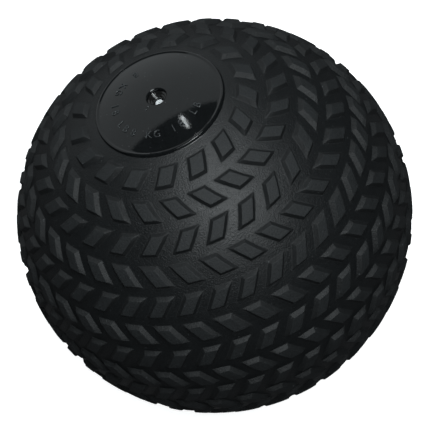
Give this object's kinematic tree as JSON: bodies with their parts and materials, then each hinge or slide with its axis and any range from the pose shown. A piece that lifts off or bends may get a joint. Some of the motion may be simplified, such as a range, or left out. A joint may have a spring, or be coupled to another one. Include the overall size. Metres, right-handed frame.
{
  "type": "medicine ball",
  "caption": "Treaded slam ball: thick hollow soft-plastic shell with rows of leaning blocks, smooth pole discs, a recessed needle valve and loose fill.",
  "frame": {"origin": "centre of the ball", "axes": "+Z out of the valve along the pole axis, which is the axis that the tread rows run round; -Y is the side the picture looks at from above"},
  "size_m": [0.2295, 0.2295, 0.2244],
  "materials": {
    "soft_pvc": "satin, fine moulded grain",
    "gloss_bush": "high gloss",
    "soft_rubber": "pale, gloss",
    "sand_and_grit": "loose grains"
  },
  "bodies": {
    "ball": {"shell": "soft_pvc", "valve_body": "gloss_bush"},
    "core": {"valve_core": "soft_rubber"},
    "fill": {"sand_fill": "sand_and_grit"}
  },
  "joints": [
    {"name": "core_pull", "type": "slide", "parent": "ball", "child": "core", "axis": [0, 0, 1], "range_m": [0, 0.02]},
    {"name": "fill_tumble", "type": "hinge", "parent": "ball", "child": "fill", "pos_m": [0, 0, 0], "axis": [1, 0, 0], "continuous": true}
  ]
}
